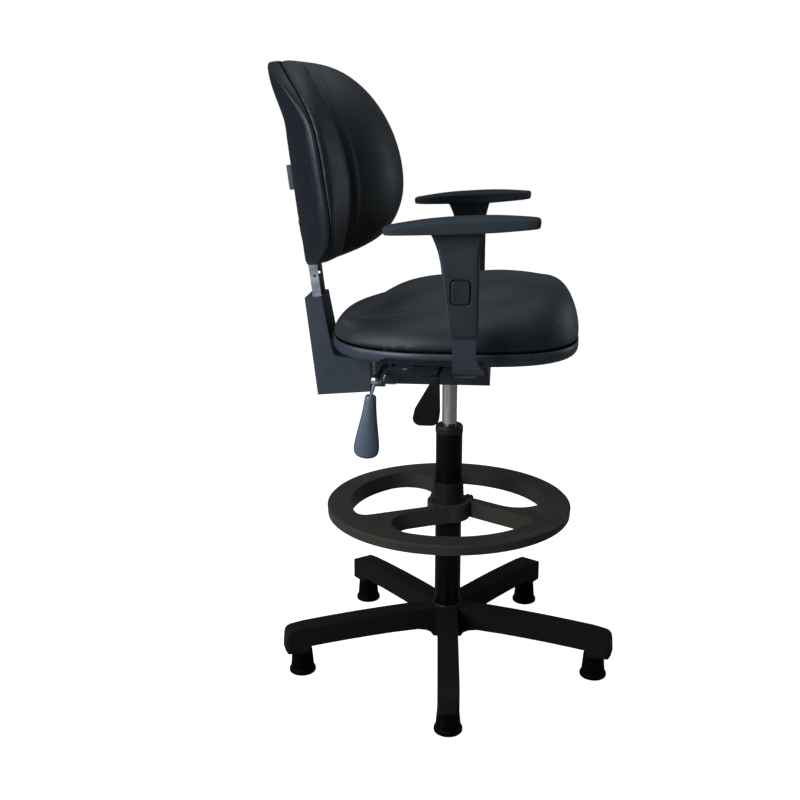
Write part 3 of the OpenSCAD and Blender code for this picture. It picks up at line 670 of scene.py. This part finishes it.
BACK_AT = Vector((-261, 0, 773)) * MM
LEAN = math.atan2(-JOINTS["back_height"]["axis"][0], JOINTS["back_height"]["axis"][2])
BACK_R = 330 * MM
RIM_R = 320 * MM
BACK_HALF_W, BACK_HALF_H = 200 * MM, 174 * MM
TOP_POWER, LOW_POWER, TAPER = 2.5, 5.0, 0.04
CROWN_AT, CROWN = 140 * MM, 190 * MM
BACK_STEPS = 180


def leaning(points):
    """Points (forward, left, up) in the backrest's frame, moved into the row frame."""
    points = np.asarray(points, float)
    c, s = math.cos(LEAN), math.sin(LEAN)
    x = BACK_AT.x + points[:, 0] * c - points[:, 2] * s
    z = BACK_AT.z + points[:, 0] * s + points[:, 2] * c
    return np.stack([x, points[:, 1], z], 1)


def upright(points):
    """The inverse of leaning."""
    c, s = math.cos(LEAN), math.sin(LEAN)
    x, z = points[:, 0] - BACK_AT.x, points[:, 2] - BACK_AT.z
    return np.stack([x * c + z * s, points[:, 1], -x * s + z * c], 1)


def back_outline():
    """Outline of the backrest from the front, as (left, up) about its middle."""
    return superellipse(BACK_STEPS, BACK_HALF_W, BACK_HALF_H, TOP_POWER, LOW_POWER, TAPER)


def curve_depth(y, radius):
    """How far forward a panel of that radius, bent about the sitter, is at y."""
    return BACK_R - np.sqrt(radius ** 2 - y ** 2)


def flare(z):
    """The top of the panel rolls rearwards."""
    return -17 * MM * smooth_step(225 * MM, 330 * MM, z)


def rim_depth(y, z):
    """How far forward the seam between shell and cushion is: deeper over the top."""
    return curve_depth(y, RIM_R) + flare(z) + 11 * MM * smooth_step(235 * MM, 335 * MM, z)


def outline_share(y, z):
    """0 at the middle of the backrest, 1 on its outline."""
    v = (z - BACK_HALF_H) / BACK_HALF_H
    u = y / (BACK_HALF_W * (1 - TAPER * v))
    n = np.where(v < 0, LOW_POWER, TOP_POWER)
    return (np.abs(u) ** n + np.abs(v) ** n) ** (1 / n)


def crease_half(z):
    """Half width of the centre panel at height z."""
    v = z - 130 * MM
    reach = np.where(v > 0, 218 * MM, 152 * MM)
    return 131 * MM * np.sqrt(np.clip(1 - (np.abs(v) / reach) ** 2.7, 0.0001, 1))


def cushion_depth(y, z):
    """How far forward the back cushion's face is."""
    v = z - CROWN_AT
    above = v > 0
    up = np.clip(np.abs(v) / np.where(above, 2 * BACK_HALF_H - CROWN_AT, CROWN_AT + 2 * MM), 0, 0.999)
    crown = CROWN * np.where(above, (1 - up ** 1.9) ** 0.44, (1 - up ** 2.3) ** 0.36)
    crease = 118 * MM * (1 - np.clip(v / np.where(above, 265 * MM, 232 * MM), -1, 1) ** 2)
    half = crease_half(z)
    rim = rim_depth(y, z)
    q = np.abs(y) / half
    panel = crease + (crown - crease) * (1 - np.clip(q, 0, 1) ** 2.6)
    edge = np.maximum(0.02, BACK_HALF_W - half)
    w = np.clip((np.abs(y) - half) / edge, 0, 1)
    border = crease - np.maximum(crease - rim, 0) * 0.55 * w ** 1.6
    face = np.where(q < 1, panel, border)
    share = np.clip(outline_share(y, z), 0, 1)
    return rim + np.maximum(face - rim, 0) * (1 - share ** 26) ** 0.5


BOARD_R = 292 * MM


def make_back_cushion():
    """Deep dome with a sewn crease between its centre panel and the borders."""
    line = back_outline()
    front = []
    for share in [*np.linspace(0.03, 0.9, 26), 0.93, 0.955, 0.975, 0.988, 0.996]:
        y, z = line[:, 0] * share, BACK_HALF_H + line[:, 1] * share
        front.append(np.stack([cushion_depth(y, z), y, z], 1))
    rim = []
    for share, forward in ((0.998, 3), (0.99, 0.6), (0.93, 0.6)):
        y, z = line[:, 0] * share, BACK_HALF_H + line[:, 1] * share
        rim.append(np.stack([rim_depth(y, z) + forward * MM, y, z], 1))
    for share in (0.89, 0.8, 0.6, 0.4, 0.2, 0.05):
        y, z = line[:, 0] * share, BACK_HALF_H + line[:, 1] * share
        board = curve_depth(y, BOARD_R) + flare(z)
        rim.append(np.stack([np.minimum(board, cushion_depth(y, z) - 22 * MM), y, z], 1))
    rings = [leaning(ring) for ring in front + rim]
    mesh = skin("back_cushion_cover", rings)
    piece = add_piece("back_cushion_cover", mesh, "back_vinyl", "backrest", "back_cushion")

    def crease_gap(local):
        return np.abs(local[:, 1]) - crease_half(local[:, 2])

    def held(points):
        local = upright(points)
        behind = local[:, 0] < rim_depth(local[:, 1], local[:, 2]) + 6 * MM
        behind |= outline_share(local[:, 1], local[:, 2]) > 0.985
        near = np.exp(-(crease_gap(local) / (7 * MM)) ** 2)
        return np.where(behind, 1.0, 0.9 * near)

    puffed(piece, held, pressure=4, limit=9 * MM)
    refined(piece)
    local = upright(points_of(piece.data))
    gap = crease_gap(local)
    facing = local[:, 0] > rim_depth(local[:, 1], local[:, 2]) + 8 * MM
    valley = np.exp(-((gap - 7 * MM) / (7 * MM)) ** 2) * 4.5 * MM
    lip = -np.exp(-((gap + 3 * MM) / (4 * MM)) ** 2) * 2.0 * MM
    inside = 1 - smooth_step(0.86, 0.95, outline_share(local[:, 1], local[:, 2]))
    sink(piece, (valley + lip) * facing * inside)


def make_back_shell():
    """Bent panel behind the cushion with a rolled rim and a low spine over the height ratchet."""
    line = back_outline()
    outer, inner = [], []
    for share in [*np.linspace(0.02, 0.96, 40), 0.98, 0.992]:
        y, z = line[:, 0] * share, BACK_HALF_H + line[:, 1] * share
        roll = 2.2 * MM * smooth_step(0.955, 1.0, share) ** 2
        depth = curve_depth(y, BACK_R) + flare(z)
        spine = 1 - smooth_step(34 * MM, 48 * MM, np.abs(y))
        spine *= smooth_step(4 * MM, 22 * MM, z) * (1 - smooth_step(215 * MM, 275 * MM, z))
        outer.append(np.stack([depth + roll - 3.0 * MM * spine, y, z], 1))
        inner_z = BACK_HALF_H + (z - BACK_HALF_H) * 0.985
        inner.append(np.stack([depth + 2.5 * MM - 3.8 * MM * spine, y * 0.985, inner_z], 1))
    rim = []
    for share, part in ((1.0, 0.2), (1.002, 0.45), (1.0015, 0.8), (0.998, 0.97), (0.985, 0.97)):
        y, z = line[:, 0] * share, BACK_HALF_H + line[:, 1] * share
        rear = curve_depth(y, BACK_R) + flare(z)
        rim.append(np.stack([rear + part * (rim_depth(y, z) - rear), y, z], 1))
    rings = [leaning(ring) for ring in outer + rim + inner[::-1]]
    mesh = skin("back_shell_panel", rings)
    add_piece("back_shell_panel", mesh, "shell_plastic", "backrest", "back_shell")


# ---------- Arms ----------

def sleeve_edges(z):
    """Rear and front of the sleeve at height z: nearly straight, then flaring under the pad."""
    front = 56.7 * MM + 7.5 * MM * np.clip((z - 815 * MM) / (39 * MM), 0, None) ** 2
    rear = 11 * MM - 0.122 * (z - 695 * MM) - 10 * MM * np.clip((z - 795 * MM) / (57 * MM), 0, None) ** 2.4
    return rear, front


def sleeve_ring(z, low, high, corner=4 * MM):
    """Rounded rectangle at height z, with close points on the side faces."""
    rear, front = sleeve_edges(z)
    along = np.concatenate([[0], np.linspace(0.04, 0.96, 56), [1]])
    x = rear + corner + along * (front - rear - 2 * corner)
    points = [(u, high) for u in x[::-1]]
    turns = np.radians(np.arange(15, 90, 15))
    points += [(rear + corner - corner * math.sin(t), high - corner + corner * math.cos(t)) for t in turns]
    points += [(rear, high - corner), (rear, low + corner)]
    points += [(rear + corner - corner * math.cos(t), low + corner - corner * math.sin(t)) for t in turns]
    points += [(u, low) for u in x]
    points += [(front - corner + corner * math.sin(t), low + corner - corner * math.cos(t)) for t in turns]
    points += [(front, low + corner), (front, high - corner)]
    points += [(front - corner + corner * math.cos(t), high - corner + corner * math.sin(t)) for t in turns]
    ring = np.array([(u, v, 0) for u, v in points])
    ring[:, 2] = z + 2.4 * MM * smooth_step(845 * MM, 854 * MM, z) * (ring[:, 0] - rear) / (front - rear)
    return ring


def make_arm_sleeve(side):
    """Moulded sleeve with a sunk window round its height button."""
    low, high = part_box(f"arm_sleeve_{side}")
    button_low, button_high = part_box(f"arm_button_{side}")
    mid, half = (button_low + button_high) / 2, (button_high - button_low) / 2
    heights = [*np.arange(695.4, 740, 4), *np.arange(740, 788, 1), *np.arange(788, 853, 4), 853.8]
    rings = [sleeve_ring(695.0 * MM, low.y + 1 * MM, high.y - 1 * MM)]
    rings += [sleeve_ring(z * MM, low.y, high.y) for z in heights]
    outer_y = high.y if SIDES[side] > 0 else low.y
    for ring in rings:
        out = np.abs(ring[:, 1] - outer_y) < 0.1 * MM
        u = np.maximum(np.abs(ring[:, 0] - mid.x) - (half.x - 6 * MM), 0)
        v = np.maximum(np.abs(ring[:, 2] - mid.z) - (half.z - 6 * MM), 0)
        gap = np.hypot(u, v) - 6 * MM
        sunk = 2.6 * MM * (1 - smooth_step(1.3 * MM, 2.3 * MM, gap))
        ring[:, 1] -= SIDES[side] * np.where(out, sunk, 0)
    mesh = skin("arm_sleeve_skin", rings)
    add_piece(f"arm_sleeve_{side}_skin", mesh, "sleeve_plastic", f"arm_{side}", f"arm_sleeve_{side}")


def make_arm_pad(side):
    """Soft pad: straight outer edge, bowed inner edge, flat-sided rim, gently crowned top."""
    low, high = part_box(f"arm_pad_{side}")
    mid, half = (low + high) / 2, (high - low) / 2
    line = superellipse(180, half.x, half.y, 9, 3.2)
    line[:, 1] *= SIDES[side]

    def ring(share, height_of):
        points = np.zeros((len(line), 3))
        points[:, 0] = mid.x + line[:, 0] * share
        points[:, 1] = mid.y + line[:, 1] * share
        points[:, 2] = height_of(line[:, 0] * share / half.x)
        return points

    def under(u):
        return low.z + np.where(u < 0.26, 3.2 * (u + 1), 4 + 10.8 * (u - 0.26)) * MM

    def brow(u):
        """Height of the rim's upper edge."""
        return low.z + (21.7 + 7 * u - 3.1 * u ** 2) * MM

    def crowned(share):
        return lambda u: brow(u) + 6 * MM * (1 - share ** 2.2) * (1 - 0.55 * u ** 4)

    rings = [ring(s, under) for s in (0.05, 0.5, 0.9, 0.965)]
    rings += [ring(s, lambda u, up=up: under(u) + up * MM) for s, up in ((0.985, 0.5), (0.994, 1.6))]
    for share, down in ((1.0, 2.4), (0.997, 1.1), (0.988, 0.3)):
        rings.append(ring(share, lambda u, down=down: brow(u) - down * MM))
    rings += [ring(s, crowned(s)) for s in (0.97, 0.9, 0.78, 0.62, 0.45, 0.28, 0.1)]
    mesh = skin("arm_pad_skin", rings)
    pad = add_piece(f"arm_pad_{side}_skin", mesh, "pad_urethane", f"arm_{side}", f"arm_pad_{side}")
    more = pad.modifiers.new("more", "SUBSURF")
    more.levels = more.render_levels = 1


# ---------- Tilt handle ----------

GRIP_STEPS = 48


def make_tilt_handle():
    """Satin grip of the tilt lever: narrow neck, wide flattened foot."""
    top = Vector((-129, -158, 560)) * MM
    end = Vector((-139, -158, 447)) * MM
    axis = end - top
    profile = [(0, 7.5), (0.004, 9), (0.03, 10.2), (0.12, 10.8), (0.25, 12.4), (0.4, 15), (0.55, 18),
               (0.7, 21), (0.82, 22.8), (0.9, 22.4), (0.95, 20), (0.98, 15.5), (0.995, 9), (1.0, 3)]
    down = axis.normalized()
    across = Vector((0, 1, 0)).cross(down)
    rings = []
    for along, radius in profile:
        thin = min(radius, 9 + 0.27 * radius)
        ring = []
        for k in range(GRIP_STEPS):
            angle = 2 * math.pi * k / GRIP_STEPS
            point = top + axis * along + across * math.cos(angle) * radius * MM
            ring.append(point + Vector((0, 1, 0)) * math.sin(angle) * thin * MM)
        rings.append(ring)
    piece = add_piece("tilt_grip", skin("tilt_grip", rings), "handle_plastic", "tilt_clamp", "tilt_handle")
    more = piece.modifiers.new("more", "SUBSURF")
    more.levels = more.render_levels = 1


# ---------- CAD nodes that stay ----------

KEPT = {
    "star_base": ("base_plastic", 4.0),
    "hub_sleeve": ("collar_paint", 1.0),
    "column_tube": ("column_paint", 0.8),
    "column_guide": ("guide_plastic", 2.0),
    "thrust_bearing": ("bearing_steel", 0),
    "piston_rod": ("chrome", 0),
    "retaining_clip": ("black_steel", 0),
    "piston_head": ("black_steel", 0),
    "foot_ring": ("ring_plastic", 2.0),
    "ring_collar": ("collar_paint", 0.8),
    "ring_knob": ("ring_plastic", 1.5),
    "gas_cylinder": ("chrome", 0),
    "cylinder_gland": ("black_steel", 0),
    "release_pin": ("bearing_steel", 0),
    "mechanism_tray": ("mechanism_paint", 0.8),
    "cone_socket": ("mechanism_paint", 0.8),
    "tilt_cheeks": ("mechanism_paint", 0.8),
    "rear_spacer": ("mechanism_paint", 1.0),
    "seat_board": ("plywood", 0.5),
    "seat_bolts": ("zinc_steel", 0.4),
    "tee_nuts": ("zinc_steel", 0),
    "lever_bracket": ("zinc_steel", 0),
    "height_lever": ("black_steel", 0),
    "lever_paddle": ("paddle_plastic", 4.0),
    "tilt_bolt": ("chrome", 0.4),
    "tilt_lever": ("chrome", 0),
    "tilt_arm": ("zinc_steel", 0.8),
    "pivot_shaft": ("zinc_steel", 0.5),
    "upright_channel": ("zinc_steel", 0.8),
    "back_cover": ("cover_plastic", 3.0),
    "cover_screws": ("black_steel", 0.3),
    "back_board": ("plywood", 0.5),
    "ratchet_housing": ("guide_plastic", 1.0),
    "ratchet_cap": ("cover_plastic", 2.0),
    "back_screws": ("black_steel", 0.3),
}


def dress_nodes():
    for node, (slot, width) in KEPT.items():
        soften(node, slot, width * MM)
    soften("glide_pins", "zinc_steel", 0)
    for number in range(1, 6):
        soften(f"glide_{number}", "glide_plastic", 1.0 * MM)
    for side in SIDES:
        soften(f"arm_bracket_{side}", "bracket_paint", 1.5 * MM)
        soften(f"pad_screws_{side}", "zinc_steel", 0)
        soften(f"arm_button_{side}", "button_plastic", 1.2 * MM)


make_camera()
make_stage()
LOOKS = make_looks()
dress_nodes()
make_seat_cushion()
make_seat_pan()
make_back_cushion()
make_back_shell()
for side_name in SIDES:
    make_arm_sleeve(side_name)
    make_arm_pad(side_name)
make_tilt_handle()
